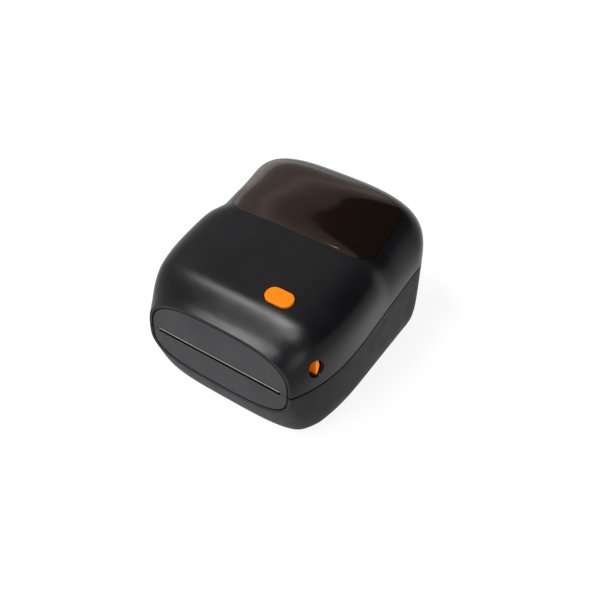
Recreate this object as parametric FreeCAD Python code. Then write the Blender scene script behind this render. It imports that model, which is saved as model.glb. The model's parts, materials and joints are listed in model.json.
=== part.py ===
import FreeCAD, Part
import math
import os

# Desktop thermal label printer, millimetres.
# Table plane is z = 0, the paper slot faces -Y, the hinge is at +Y.

V = FreeCAD.Vector
far = 140.0
high = 260.0

# Body form
body_width = 178.0
front_y = -96.5
rear_y = 99.0
lid_height = 138.0
foot_height = 2.5
wall = 2.6
slot_z = 55.5
parting_rise = 23.0
parting_gap = 0.6
nose_length = 90.0
nose_taper = 18.0
plan_corner = 33.0
rear_round = 37.0
rear_taper = 12.0
rear_lip = 10.0
base_under = 8.0
chin_length = 16.0
chin_power = 1.6
chin_height = 31.0
quarter_steps = 12
ring_count = 18
ring_crowding = 1.8
rear_angles = (12, 25, 38, 50, 61, 71, 79)

# Side profile of the lid: distance behind the front panel, share of the height above the slot
lid_profile = [(0.0, 0.436), (5.0, 0.462), (13.0, 0.524), (21.0, 0.588), (27.0, 0.623), (33.0, 0.640),
               (48.0, 0.666), (75.0, 0.709), (104.0, 0.764), (132.0, 0.903)]
# Squareness of the cross sections along the depth
lid_square = [(0.0, 2.9), (8.0, 3.4), (18.0, 4.5), (30.0, 5.0), (50.0, 5.2), (90.0, 5.0), (118.0, 2.9),
              (150.0, 2.5), (180.0, 3.1), (200.0, 3.3)]
base_square = [(0.0, 3.1), (6.0, 3.4), (12.0, 4.2), (20.0, 5.8), (32.0, 7.0), (200.0, 7.0)]

# Front panel
panel_half_width = body_width / 2 - nose_taper
panel_tilt = 4.0
lean_length = 60.0
panel_gap = 0.4
panel_inset = 0.2
panel_thickness = 2.4
slot_length = 2 * panel_half_width - 20.0
slot_height = 3.6
sill_slope = 1.3
tear_height = 1.2
tear_pitch = 2.0
tear_tooth = 0.5
tear_sheet = 1.0
tear_depth = 4.3
tear_flange = 6.0

# Window in the lid
window_half = body_width / 2 - 19.0
window_front = front_y + 103.0
window_rear = rear_y - 26.0
window_corner = 20.0
window_rear_corner = 11.0
window_deep = 30.0
window_gap = 0.35
window_thickness = 3.0
flange_width = 3.5
flange_gap = 0.2
flange_thickness = 1.6
flange_inside = 5.0

# Feed button
button_x = 33.0
button_y = front_y + 40.3
button_length = 25.0
button_width = 15.0
button_proud = 1.8
button_skirt = 5.0
button_gap = 0.4
button_round = 1.0
button_stem = 2.2
board_depth = 12.0
switch_rise = 5.0
switch_side = 6.0
stem_gap = 1.6
button_board_length = 42.0
button_board_width = 16.0
button_post_x = 18.5
button_post = 2.4

# Lid hinge
hinge_radius = 4.5
hinge_rise = 3.0
hinge_half = 58.0
hinge_relief = 82.0
hinge_gap = 0.5
pin_radius = 2.0
pin_fit = 0.05
pin_length = 30.0
lug_x = 40.0
lug_width = 12.0
lug_web = [(-4.5, 0.0), (-4.5, -14.0), (1.5, -24.0), (1.5, -5.0), (3.0, 0.0)]

# Latches, with outlines as offsets from the pivot
latch_y = front_y + 21.0
latch_z = slot_z + 20.5
latch_open_y = 6.2
latch_open_z = 8.4
latch_pivot_y = front_y + 25.5
latch_pivot_z = slot_z + 8.0
latch_in = panel_half_width - 4.0
latch_thick = 4.5
latch_hub = 4.2
latch_play = 0.7
latch_room = 1.8
latch_arm = [(-4.0, 0.0), (-10.2, 6.5), (-10.2, 19.5), (1.0, 20.5), (3.6, 16.5), (4.0, 0.0)]
latch_leg = [(1.0, 3.6), (4.2, 2.0), (13.5, -8.0), (13.5, -14.0), (9.7, -14.0), (9.7, -9.0), (-2.0, -3.6)]
latch_nose = [(7.5, -11.6), (8.5, -14.0), (10.5, -14.0), (10.5, -11.6)]
tab_front = -3.4
tab_rear = 1.0
tab_sunk = 2.0
tab_round = 1.0
latch_coil_wire = 0.7
latch_coil_turns = 4
latch_coil_length = 4.4

# Platen and drive
platen_y = front_y + 20.5
platen_z = slot_z - 9.0
platen_radius = 8.0
platen_half = slot_length / 2 - 6.0
shaft_radius = 3.0
shaft_over = 4.0
gear_module = 0.7
gear_backlash = 0.18
pressure_angle = math.radians(20)
platen_teeth = 30
small_teeth = 20
big_teeth = 36
pinion_teeth = 18
idler_angle = math.radians(-32.0)
motor_angle = math.radians(-4.0)
bracket_x = slot_length / 2 - 3.2
bracket_sheet = 1.2
bracket_front = front_y + 10.0
bracket_foot = front_y + 30.0
bracket_lift = 0.3
bracket_flange = 10.0
gear_plane_a = -bracket_x - 7.2
gear_plane_b = gear_plane_a - 6.0
gear_width = 5.0
bush_radius = 5.0
bush_collar = 0.7
motor_radius = 17.5
motor_length = 21.0
motor_boss = 5.4
motor_round = 1.2
motor_shaft_radius = 1.5

# Roll bay and its sliding holders
roll_y = rear_y - 68.0
roll_z = slot_z + 18.0
bay_radius = 52.0
bay_half = slot_length / 2 + 1.0
bay_wall = 2.0
deck_drop = 3.0
frame_gap = 0.4
frame_skin = 2.0
frame_front = front_y + 4.5
frame_rear = rear_y - 15.0
platen_room = 10.0
latch_sweep = 19.0
latch_slot = 0.6
holder_x = slot_length / 2 - 10.0
holder_sheet = 3.0
holder_gap = 0.4
holder_foot = 24.0
holder_top = 13.0
hub_radius = 11.5
hub_length = 8.0
hub_wall = 3.5
hub_chamfer = 2.0
rack_module = 1.0
rack_teeth = 18
rack_backlash = 0.3
rack_height = 4.0
rack_gap = 1.5
rack_bar = 4.0
rack_start = -4
rack_post = 2.5
rack_collar = 4.5
slide_in = 36.0
slide_out = 6.0
slide_gap = 1.0

# Printhead
head_half = platen_half + 1.0
head_gap = 0.3
head_front = 11.0
head_rear = 12.0
head_strip = 1.0
head_block = 6.0
fin_pitch = 5.0
fin_slot = 2.0
fin_depth = 2.5
carrier_sheet = 1.4
carrier_ear = 1.6
head_pivot_y = front_y + 44.5
head_pivot_z = slot_z + 12.0
head_ear = 4.2
spring_radius = 3.2
spring_wire = 0.8
spring_turns = 5
spring_x = 34.0
spring_gap = 0.02
coil_steps = 14
coil_sides = 6

# Lid tray
tray_gap = 0.5
tray_rise = 1.0
tray_skin = 2.0
tray_front = front_y + 4.5
tray_rear = front_y + 62.5
tray_low = slot_z - 8.0
tray_high = slot_z + 12.0
tray_screw_x = slot_length / 2 - 4.0
tray_screw_y = front_y + 54.5
beam_low = slot_z + 20.0
beam_high = slot_z + 22.5
beam_half = 4.0
rib_in = slot_length / 2 + 0.4
rib_sheet = 3.0
post_radius = 3.5
post_bite = 0.6

# Base fittings
screw_hole = 1.7
screw_head = 2.8
screw_sink = 3.2
screw_shank = 1.2
screw_bore = 1.25
frame_screw_x = bay_half + 8.0
frame_screws = [(side * frame_screw_x, y) for side in (-1, 1) for y in (front_y + 60.5, rear_y - 47.0)]
foot_x = body_width / 2 - 27.0
foot_radius = 6.0
foot_sunk = 0.8
foot_places = [(side * foot_x, y) for side in (-1, 1) for y in (front_y + 26.5, rear_y - 29.0)]
board_lift = 3.5
board_sheet = 1.6
board_hole = 1.6
board_post = 3.0
board_screw_head = 2.6
board_box = (-30.0, 45.0, front_y + 12.5, front_y + 72.5)
board_holes = [(x, y) for x in (-25.0, 40.0) for y in (front_y + 16.5, front_y + 67.5)]
io_box = (-50.0, 50.0, rear_y - 37.0, rear_y - 13.5)
io_holes = [(-46.0, rear_y - 33.0), (46.0, rear_y - 33.0)]
port_y = rear_y - 8.5
port_high = 11.0
port_room = 0.4
usb_x = 4.0
usb_half = 6.0
dc_x = 30.0
dc_half = 5.0
switch_x = -30.0
switch_half = 7.5
switch_high = 20.0
switch_wall = 1.6
rocker_half = 5.5
rocker_y = rear_y - 13.0
rocker_turn = -7.0
rocker_pin = 1.2
rocker_form = [(-3.0, -3.4), (-3.0, 3.4), (1.5, 7.4), (5.6, 7.4), (4.2, 0.0), (5.6, -7.4), (1.5, -7.4)]
sensor_x = 20.0
sensor_y = front_y + 51.5
sensor_half_x = 6.0
sensor_half_y = 4.0
sensor_high = 6.0

# Chips as x, y, length, width and height on the main board
chips = [(7.0, -59.0, 14.0, 14.0, 1.4), (27.0, -65.0, 10.0, 10.0, 1.2), (-13.0, -43.0, 10.0, 14.0, 2.0),
         (26.0, -37.0, 24.0, 6.0, 6.0), (0.0, -79.5, 24.0, 5.5, 5.0)]
# Capacitors as x, y, radius and height
caps = [(30.0, -50.0, 5.0, 11.0), (4.0, -36.0, 3.2, 8.0)]

# Shared places worked out from the values above
parting_rear = slot_z + parting_rise
floor_z = foot_height + wall
board_z = floor_z + board_lift
guide_front = platen_y + platen_room
guide_rear = latch_pivot_y + latch_sweep
board_top = board_z + board_sheet
rocker_z = board_top + switch_high / 2
hinge_y = rear_y - hinge_radius
hinge_z = parting_rear + hinge_rise
idler_gap = gear_module * (platen_teeth + small_teeth) / 2
idler_y = platen_y + idler_gap * math.cos(idler_angle)
idler_z = platen_z + idler_gap * math.sin(idler_angle)
motor_gap = gear_module * (big_teeth + pinion_teeth) / 2
motor_y = idler_y + motor_gap * math.cos(motor_angle)
motor_z = idler_z + motor_gap * math.sin(motor_angle)
rack_radius = rack_module * rack_teeth / 2
bay_floor = roll_z - bay_radius - bay_wall
rack_high = bay_floor - rack_gap
rack_low = rack_high - rack_height
strip_z = platen_z + platen_radius + head_gap
block_z = strip_z + head_strip
carrier_z = block_z + head_block

os.makedirs("parts", exist_ok=True)


def save(node, shapes):
    shape = shapes if isinstance(shapes, Part.Shape) else Part.makeCompound(shapes)
    shape.exportStep("parts/" + node + ".step")


def box(x0, x1, y0, y1, z0, z1):
    return Part.makeBox(x1 - x0, y1 - y0, z1 - z0, V(x0, y0, z0))


def cyl_x(x0, x1, y, z, r):
    return Part.makeCylinder(r, x1 - x0, V(x0, y, z), V(1, 0, 0))


def cyl_y(y0, y1, x, z, r):
    return Part.makeCylinder(r, y1 - y0, V(x, y0, z), V(0, 1, 0))


def cyl_z(z0, z1, x, y, r):
    return Part.makeCylinder(r, z1 - z0, V(x, y, z0), V(0, 0, 1))


def plate_x(points, x0, x1):
    wire = Part.makePolygon([V(x0, y, z) for y, z in points + points[:1]])
    return Part.Face(wire).extrude(V(x1 - x0, 0, 0))


def plate_z(points, z0, z1):
    wire = Part.makePolygon([V(x, y, z0) for x, y in points + points[:1]])
    return Part.Face(wire).extrude(V(0, 0, z1 - z0))


def shifted(points, y, z):
    return [(y + a, z + b) for a, b in points]


def flip(shape):
    return shape.mirror(V(0, 0, 0), V(1, 0, 0))


def both(shape):
    return [shape, flip(shape)]


def union(shapes):
    return shapes[0].multiFuse(shapes[1:])


def blend(points, d):
    # Smooth curve through the points that never swings past them
    xs = [p[0] for p in points]
    ys = [p[1] for p in points]
    last = len(points) - 1
    if d <= xs[0]:
        return ys[0]
    if d >= xs[last]:
        return ys[last]
    grade = [(ys[i + 1] - ys[i]) / (xs[i + 1] - xs[i]) for i in range(last)]
    slope = [grade[0]]
    for i in range(1, last):
        flat = grade[i - 1] * grade[i] <= 0
        slope.append(0 if flat else 2 * grade[i - 1] * grade[i] / (grade[i - 1] + grade[i]))
    slope.append(0)
    i = max(k for k in range(last) if xs[k] <= d)
    h = xs[i + 1] - xs[i]
    t = (d - xs[i]) / h
    rise = ys[i] + (ys[i + 1] - ys[i]) * t * t * (3 - 2 * t)
    return rise + h * t * (1 - t) * ((1 - t) * slope[i] - t * slope[i + 1])


def half_width(y):
    s = max((y - front_y) / nose_length, 0)
    w = body_width / 2
    if s < 1:
        w -= nose_taper * (1 - s) ** 3
    d = y - (rear_y - plan_corner)
    if d > 0:
        w -= plan_corner - math.sqrt(max(plan_corner ** 2 - d * d, 0))
    return w


def parting_z(y):
    s = min(max((y - front_y) / (rear_y - front_y), 0), 1)
    return slot_z + parting_rise * s * s * (3 - 2 * s)


def lid_top(y):
    d = y - (rear_y - rear_round)
    if d > 0:
        return lid_height - rear_round + math.sqrt(max(rear_round ** 2 - d * d, 0))
    run = rear_y - rear_round - front_y
    return slot_z + (lid_height - slot_z) * blend(lid_profile + [(run, 1.0)], y - front_y)


def base_bottom(y):
    s = max((y - front_y) / chin_length, 0)
    low = foot_height - base_under
    z = low
    if s < 1:
        z += chin_height * (1 - s) ** chin_power
    d = y - (rear_y - rear_taper)
    if d > 0:
        z += (parting_rear - rear_lip - low) * d / rear_taper
    return z


def lean(y, z):
    share = max(1 - max(y - front_y, 0) / lean_length, 0)
    return math.tan(math.radians(panel_tilt)) * share ** 2 * (z - slot_z)


def quarter(w, h, n):
    # Rounded quarter section, points shared between length and turning
    fine = 300
    points = []
    for k in range(fine + 1):
        t = math.pi / 2 * k / fine
        c = max(math.cos(t), 0) ** (1 / (n - 1)) if k < fine else 0.0
        s = math.sin(t) ** (1 / (n - 1)) if k else 0.0
        r = (c ** n + s ** n) ** (1 / n)
        points.append((w * c / r, h * s / r))
    run = [0.0]
    for a, b in zip(points, points[1:]):
        run.append(run[-1] + math.dist(a, b))
    place = [0.5 * r / run[-1] + 0.5 * k / fine for k, r in enumerate(run)]
    out = []
    j = 0
    for k in range(quarter_steps + 1):
        t = k / quarter_steps
        while j < fine - 1 and place[j + 1] < t:
            j += 1
        u = (t - place[j]) / (place[j + 1] - place[j])
        a = points[j]
        b = points[j + 1]
        out.append((a[0] + u * (b[0] - a[0]), a[1] + u * (b[1] - a[1])))
    return out


def pulled(y, inset):
    # Depth of an inner section, drawn forward as the rear wall needs
    return y - inset * max(y - (rear_y - rear_round), 0) / rear_round


def section(y, inset):
    w = half_width(y) - inset
    mid = parting_z(y)
    rise = lid_top(y) - inset - mid
    drop = mid - base_bottom(y) - inset
    upper = quarter(w, rise, blend(lid_square, y - front_y))
    lower = quarter(w, drop, blend(base_square, y - front_y))
    ring = [(x, -z) for x, z in reversed(lower)]
    ring += upper[1:]
    ring += [(-x, z) for x, z in reversed(upper[:-1])]
    ring += [(-x, -z) for x, z in lower[1:-1]]
    depth = pulled(y, inset)
    return [V(x, depth + lean(y, mid + z), mid + z) for x, z in ring]


def ring_wire(points):
    curve = Part.BSplineCurve()
    knots = [float(k) for k in range(len(points) + 1)]
    curve.interpolate(Points=points, PeriodicFlag=True, Parameters=knots)
    return Part.Wire([curve.toShape()])


def body(inset):
    run = rear_y - rear_round - front_y
    ys = [front_y + run * (k / ring_count) ** ring_crowding for k in range(ring_count + 1)]
    ys += [rear_y - rear_round + rear_round * math.sin(math.radians(a)) for a in rear_angles]
    rings = [section(y, inset) for y in ys]
    if inset:
        rings.insert(0, [p - V(0, chin_length, 0) for p in rings[0]])
    return Part.makeLoft([ring_wire(r) for r in rings], True, False, False)


def split(shift, up):
    # Everything above or below the parting curve moved up by shift
    edge = high if up else -far
    steps = 24
    ys = [front_y - 20 + k * (rear_y - front_y + 40) / steps for k in range(steps + 1)]
    curve = Part.BSplineCurve()
    curve.interpolate([V(-far, y, parting_z(y) + shift) for y in ys])
    a = V(-far, ys[0], edge)
    b = V(-far, ys[-1], edge)
    ends = [curve.toShape(), Part.makeLine(curve.EndPoint, b), Part.makeLine(b, a)]
    ends.append(Part.makeLine(a, curve.StartPoint))
    return Part.Face(Part.Wire(ends)).extrude(V(2 * far, 0, 0))


def lid_surface(x, y):
    n = blend(lid_square, y - front_y)
    share = max(1 - (abs(x) / half_width(y)) ** n, 0) ** (1 / n)
    return parting_z(y) + (lid_top(y) - parting_z(y)) * share


def gear_points(teeth, module, backlash, phase):
    pitch = module * teeth / 2
    base = pitch * math.cos(pressure_angle)
    tip = pitch + 0.95 * module
    root = pitch - 1.25 * module
    roll = math.tan(pressure_angle) - pressure_angle
    half = math.pi / (2 * teeth) - backlash / (2 * pitch)
    flank = []
    for k in range(5):
        r = max(base, root) + (tip - max(base, root)) * k / 4
        a = math.acos(min(base / r, 1))
        flank.append((r, half + roll - (math.tan(a) - a)))
    if root < base:
        flank.insert(0, (root, flank[0][1]))
    points = []
    for k in range(teeth):
        mid = phase + 2 * math.pi * k / teeth
        points += [(r * math.cos(mid - t), r * math.sin(mid - t)) for r, t in flank]
        points += [(r * math.cos(mid + t), r * math.sin(mid + t)) for r, t in reversed(flank)]
    return points


def gear_x(teeth, phase, y, z, x0, x1):
    return plate_x(shifted(gear_points(teeth, gear_module, gear_backlash, phase), y, z), x0, x1)


def mesh_phase(teeth_a, phase_a, teeth_b, way):
    # Phase of gear b so that it meshes with gear a lying in direction way
    pitch_a = gear_module * teeth_a / 2
    pitch_b = gear_module * teeth_b / 2
    step = math.pi * gear_module
    return way + math.pi - ((phase_a - way) * pitch_a - step / 2) / pitch_b


def coil(radius, wire, turns, length):
    # Faceted wire, so that its mesh stays light
    count = turns * coil_steps
    rise = (length - wire) / count
    sides = [2 * math.pi * k / coil_sides for k in range(coil_sides)]
    rings = []
    for k in range(count + 1):
        t = 2 * math.pi * k / coil_steps
        ring = []
        for a in sides:
            r = radius + wire / 2 * math.cos(a)
            ring.append(V(r * math.cos(t), r * math.sin(t), wire / 2 * (1 + math.sin(a)) + rise * k))
        rings.append(ring)
    corners = [rings[0], rings[-1]]
    for low, top in zip(rings, rings[1:]):
        for i in range(coil_sides):
            j = (i + 1) % coil_sides
            corners += [[low[i], low[j], top[j]], [low[i], top[j], top[i]]]
    faces = [Part.Face(Part.makePolygon(c + c[:1])) for c in corners]
    solid = Part.Solid(Part.Shell(faces))
    return solid if solid.Volume > 0 else solid.reversed()


outer = body(0)
above = split(parting_gap / 2, True)
below = split(-parting_gap / 2, False)
ground = box(-far, far, -far, far, foot_height, high)
hollow = body(wall).common(box(-far, far, -far, far, floor_z, high))
shell = outer.cut(hollow)
button_slope = math.degrees(math.atan2(lid_top(button_y + 4) - lid_top(button_y - 4), 8))
button_z = lid_surface(button_x, button_y)


def window_prism(grow):
    # Plan of the roll window run upright, its front corners rounder than its rear ones
    half = window_half + grow
    y0 = window_front - grow
    y1 = window_rear + grow
    prism = box(-half, half, y0, y1, lid_surface(0, y0) - window_deep, high)
    for y, r in ((y0, window_corner), (y1, window_rear_corner)):
        upright = [e for e in prism.Edges if abs(e.Vertexes[0].Z - e.Vertexes[1].Z) > 1]
        prism = prism.makeFillet(r + grow, [e for e in upright if abs(e.CenterOfMass.y - y) < 0.01])
    return prism


def button_block(grow, low, top):
    # Stadium block standing on the lid surface at the button
    half = button_width / 2 + grow
    mid = (button_length - button_width) / 2
    ends = [cyl_z(low, top, x, 0, half) for x in (-mid, mid)]
    return union([box(-mid, mid, -half, half, low, top)] + ends).removeSplitter()


def to_button(shape):
    shape = shape.copy()
    shape.rotate(V(0, 0, 0), V(1, 0, 0), button_slope)
    shape.translate(V(button_x, button_y, button_z))
    return shape


def latch_prism(grow, x0, x1):
    # Upright oval of the latch hole, run along X
    oval = Part.Ellipse(V(0, 0, 0), latch_open_z + grow, latch_open_y + grow).toShape()
    solid = Part.Face(Part.Wire([oval])).extrude(V(0, 0, x1 - x0))
    solid.rotate(V(0, 0, 0), V(0, 0, 1), 90)
    solid.rotate(V(0, 0, 0), V(1, 0, 0), 90)
    solid.rotate(V(0, 0, 0), V(0, 0, 1), 90)
    solid.translate(V(x0, latch_y, latch_z))
    return solid


def latch_holes():
    return both(latch_prism(0, latch_in + latch_thick, far))


def lug_zone(grow):
    span = lug_width / 2 + grow
    return both(box(lug_x - span, lug_x + span, rear_y - 19, far, slot_z, hinge_z + hinge_radius + grow))


def tray_deck(y):
    return parting_z(y) + tray_rise + tray_skin


def tray_screws():
    return [(x, tray_screw_y) for x in (-tray_screw_x, 0, tray_screw_x)]


def lid_shell():
    lid = union([shell.common(above), cyl_x(-hinge_half, hinge_half, hinge_y, hinge_z, hinge_radius)])
    bore = cyl_x(lug_x - pin_length / 2 - pin_radius, hinge_half + 1, hinge_y, hinge_z, pin_radius + pin_fit)
    cuts = lug_zone(hinge_gap) + latch_holes() + both(bore)
    cuts += [window_prism(0), to_button(button_block(button_gap, -button_skirt - wall, far))]
    lid = lid.cut(cuts)
    deck = tray_deck(tray_screw_y)
    foot = tray_deck(tray_screw_y + post_radius) + 0.05
    posts = [cyl_z(foot, lid_height, x, y, post_radius) for x, y in tray_screws()]
    for x in (-button_post_x, button_post_x):
        posts.append(to_button(cyl_z(-board_depth, button_skirt, x, 0, button_post)))
    inside = body(wall * post_bite)
    lid = union([lid] + [p.common(inside) for p in posts])
    return lid.cut([cyl_z(slot_z, deck + 9, x, y, screw_bore) for x, y in tray_screws()])


def lid_tray():
    room = box(-far, far, tray_front, tray_rear, tray_low, tray_high)
    form = body(wall + tray_gap).common(split(tray_rise, True)).common(room)
    room = box(-far, far, tray_front + tray_skin, tray_rear - tray_skin, tray_low, high)
    inside = body(wall + tray_gap + tray_skin).common(split(tray_rise + tray_skin, True)).common(room)
    deck = slot_z + tray_skin
    beam_y0 = platen_y - beam_half
    beam_y1 = platen_y + beam_half
    ribs = both(box(rib_in, rib_in + rib_sheet, head_pivot_y - 5, head_pivot_y + 5,
                    deck + 2, head_pivot_z + 5))
    ribs += both(box(rib_in, latch_in - 2.0, beam_y0, beam_y1, deck, beam_high))
    ribs += both(box(rib_in + 1.2, latch_in - 2.4, latch_pivot_y - 4, latch_pivot_y + 5,
                     deck, latch_pivot_z + 4))
    ribs.append(box(-latch_in + 2.0, latch_in - 2.0, beam_y0, beam_y1, beam_low, beam_high))
    tray = union([form.cut(inside)] + ribs)
    mouth = box(-slot_length / 2, slot_length / 2, tray_front + 1.7, front_y + 39, tray_low, beam_low - 2)
    cuts = [mouth] + latch_holes()
    cuts += both(box(latch_in - 1.4, latch_in + latch_thick + 1.9, tray_front + 3.2, front_y + 44.5,
                     tray_low, slot_z + 6))
    cuts.append(cyl_x(-latch_in, latch_in, head_pivot_y, head_pivot_z, pin_radius))
    cuts += both(cyl_x(rib_in, far, latch_pivot_y, latch_pivot_z, pin_radius))
    for x, y in tray_screws():
        cuts += [cyl_z(tray_low, tray_high, x, y, screw_hole)]
        cuts += [cyl_z(tray_low, tray_deck(y) - 1.0, x, y, screw_sink)]
    return tray.cut(cuts)


def lid_window():
    skin = outer.common(window_prism(-window_gap)).cut(body(window_thickness))
    low = wall + flange_gap
    ring = body(low).common(window_prism(flange_width)).cut(window_prism(-flange_inside))
    return union([skin, ring.cut(body(low + flange_thickness))])


def panel(upper):
    face = Part.Face(ring_wire(section(front_y, wall + panel_gap)))
    plate = face.extrude(V(0, panel_thickness, 0))
    plate.translate(V(0, panel_inset, 0))
    half = slot_height / 2
    end = slot_length / 2
    if upper:
        plate = plate.common(box(-far, far, -far, 0, slot_z + parting_gap / 2, high))
        return plate.cut(box(-end, end, -far, 0, 0, slot_z + half))
    plate = plate.common(box(-far, far, -far, 0, 0, slot_z - parting_gap / 2))
    # The sill falls away behind the front face, so the slot looks dark
    sill = slot_z - half
    depth = 2 * panel_thickness
    mouth = [(front_y - depth, sill), (front_y, sill), (front_y + depth, sill - sill_slope * depth)]
    return plate.cut(plate_x(mouth + [(front_y + depth, high), (front_y - depth, high)], -end, end))


def tear_bar():
    half = slot_length / 2 - hinge_gap
    top = slot_z + slot_height / 2
    low = top - tear_height
    count = int(2 * half / tear_pitch)
    points = [(-half, top), (-half, low)]
    for k in range(count):
        x = -half + (k + 0.5) * 2 * half / count
        points += [(x, low + tear_tooth), (x + half / count, low)]
    points += [(half, top)]
    y0 = front_y + 0.1
    wire = Part.makePolygon([V(x, y0, z) for x, z in points + points[:1]])
    blade = Part.Face(wire).extrude(V(0, tear_sheet, 0))
    rear = front_y + tear_depth
    web = box(-half, half, y0 + tear_sheet - 0.1, rear, top - 0.7, top - 0.05)
    flange = box(-half, half, rear - tear_sheet, rear, top - 0.7, top + tear_flange)
    return union([blade, web, flange])


def feed_button():
    cap = button_block(0, -button_skirt, button_proud)
    rim = [e for e in cap.Edges if abs(e.CenterOfMass.z - button_proud) < 0.01]
    cap = cap.makeFillet(button_round, rim)
    stem = cyl_z(-board_depth + switch_rise + stem_gap, -button_skirt + 0.5, 0, 0, button_stem)
    return to_button(union([cap, stem]))


def button_board():
    x = button_board_length / 2
    y = button_board_width / 2
    return to_button(box(-x, x, -y, y, -board_depth - board_sheet, -board_depth - 0.05))


def button_switch():
    half = switch_side / 2
    case = box(-half, half, -half, half, -board_depth - 0.05, -board_depth + switch_rise - stem_gap)
    return to_button(union([case, cyl_z(-board_depth, -board_depth + switch_rise, 0, 0, half / 2)]))


def latch_lever():
    x0 = latch_in
    x1 = latch_in + latch_thick
    y = latch_pivot_y
    z = latch_pivot_z
    plates = [plate_x(shifted(form, y, z), x0, x1) for form in (latch_arm, latch_leg, latch_nose)]
    inside = body(wall + latch_room)
    plates = [p.common(inside) for p in plates]
    hub = cyl_x(x0, x1, y, z, latch_hub)
    reach = half_width(y + tab_front) - tab_sunk
    tab = box(x1 - 0.5, reach, y + tab_front, y + tab_rear, latch_z - latch_open_z, latch_z + latch_open_z)
    tab = tab.common(latch_prism(-latch_play, x1 - 1, far))
    tab = tab.makeFillet(tab_round, [e for e in tab.Edges if e.CenterOfMass.x > reach - 0.01])
    lever = union(plates + [hub, tab])
    return lever.cut(cyl_x(x0 - 1, x1 + 1, y, z, pin_radius + pin_fit))


def latch_pin():
    end = half_width(latch_pivot_y) - wall - 1.0
    return cyl_x(rib_in + 1.2, end, latch_pivot_y, latch_pivot_z, pin_radius)


def latch_spring():
    radius = pin_radius + latch_coil_wire / 2 + 0.4
    spring = coil(radius, latch_coil_wire, latch_coil_turns, latch_coil_length)
    spring.rotate(V(0, 0, 0), V(0, 1, 0), 90)
    spring.translate(V(latch_in + latch_thick + hinge_gap, latch_pivot_y, latch_pivot_z))
    return spring


def rear_cutouts():
    low = board_top - port_room
    top = board_top + port_high + port_room
    spans = [(usb_x, usb_half, top), (dc_x, dc_half, top)]
    spans.append((switch_x, switch_half, board_top + switch_high + port_room))
    return [box(x - h - port_room, x + h + port_room, rear_y - 19, far, low, z) for x, h, z in spans]


def base_shell():
    relief = hinge_radius + hinge_gap
    room = below.common(ground)
    room = room.cut(cyl_x(-hinge_relief, hinge_relief, hinge_y, hinge_z, relief))
    room = room.cut(box(-hinge_relief, hinge_relief, hinge_y, far, hinge_z - relief, high))
    base = shell.common(room)
    adds = []
    for side in (-1, 1):
        x0 = side * lug_x - lug_width / 2
        x1 = side * lug_x + lug_width / 2
        adds += [plate_x(shifted(lug_web, hinge_y, hinge_z), x0, x1)]
        adds += [cyl_x(x0, x1, hinge_y, hinge_z, hinge_radius)]
    adds += [cyl_z(floor_z - 1, rack_high + 1.0, 0, roll_y, rack_post)]
    adds += [cyl_z(floor_z - 1, rack_low - hinge_gap, 0, roll_y, rack_collar)]
    adds += [cyl_z(floor_z - 1, board_z, x, y, board_post) for x, y in board_holes + io_holes]
    base = union([base] + adds)
    cuts = [cyl_x(-hinge_half, hinge_half, hinge_y, hinge_z, pin_radius)] + rear_cutouts()
    cuts += [cyl_z(floor_z, board_z + 1, x, y, screw_shank) for x, y in board_holes + io_holes]
    for x, y in frame_screws:
        cuts += [cyl_z(0, floor_z + 1, x, y, screw_hole)]
        cuts += [cyl_z(0, foot_height + 1.2, x, y, screw_sink)]
        cuts += [cyl_z(floor_z, bay_floor, x, y, post_radius + hinge_gap)]
    cuts += [cyl_z(0, foot_height + foot_sunk, x, y, foot_radius + 0.2) for x, y in foot_places]
    return base.cut(cuts)


def rubber_feet():
    return [cyl_z(0, foot_height + foot_sunk - 0.05, x, y, foot_radius) for x, y in foot_places]


def inner_frame():
    room = box(-far, far, frame_front, frame_rear, bay_floor + frame_gap, high)
    form = body(wall + frame_gap).common(split(-deck_drop, False)).common(room)
    room = box(-far, far, frame_front + frame_skin, frame_rear - frame_skin, 0, high)
    under = body(wall + frame_gap + frame_skin).common(split(-deck_drop - frame_skin, False)).common(room)
    bay_out = cyl_x(-bay_half - bay_wall, bay_half + bay_wall, roll_y, roll_z, bay_radius + bay_wall)
    bay_out = bay_out.common(split(-deck_drop, False)).common(box(-far, far, -far, frame_rear, 0, high))
    tops = [(x, y, parting_z(y) - deck_drop - 1) for x, y in frame_screws]
    bosses = [cyl_z(floor_z + 0.05, top, x, y, post_radius) for x, y, top in tops]
    frame = union([form.cut(under), bay_out] + bosses)
    cuts = [cyl_x(-bay_half, bay_half, roll_y, roll_z, bay_radius)]
    cuts += [cyl_z(0, floor_z + 10, x, y, screw_bore) for x, y in frame_screws]
    cuts.append(box(-bracket_x - 6.2, bracket_x + 6.2, platen_y - 10.5, guide_front, platen_z - 9, high))
    reach = gear_module * (platen_teeth + 2) / 2 + 0.8
    cuts.append(box(gear_plane_b - 1, -bracket_x, platen_y - reach, platen_y + reach, platen_z - 19, high))
    lift = rack_radius + slide_gap
    slot = box(holder_x - slide_in - slide_gap, holder_x + slide_out + holder_sheet + slide_gap,
               roll_y + lift, roll_y + lift + rack_bar + slide_gap, 0, roll_z - bay_radius + 8)
    cuts += [slot, turned(slot, roll_y)]
    cuts.append(box(io_box[0] + 5, io_box[1] - 5, rear_y - 26.4, rear_y, 0, board_top + switch_high + 0.7))
    deck = parting_z(sensor_y) - deck_drop
    cuts.append(box(sensor_x - sensor_half_x - 0.1, sensor_x + sensor_half_x + 0.1,
                    sensor_y - sensor_half_y - 0.1, sensor_y + sensor_half_y + 0.1, deck - 4, high))
    return frame.cut(cuts)


def frame_piece(y0, y1, half):
    return frame.common(box(-half, half, y0, y1, 0, high))


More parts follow.
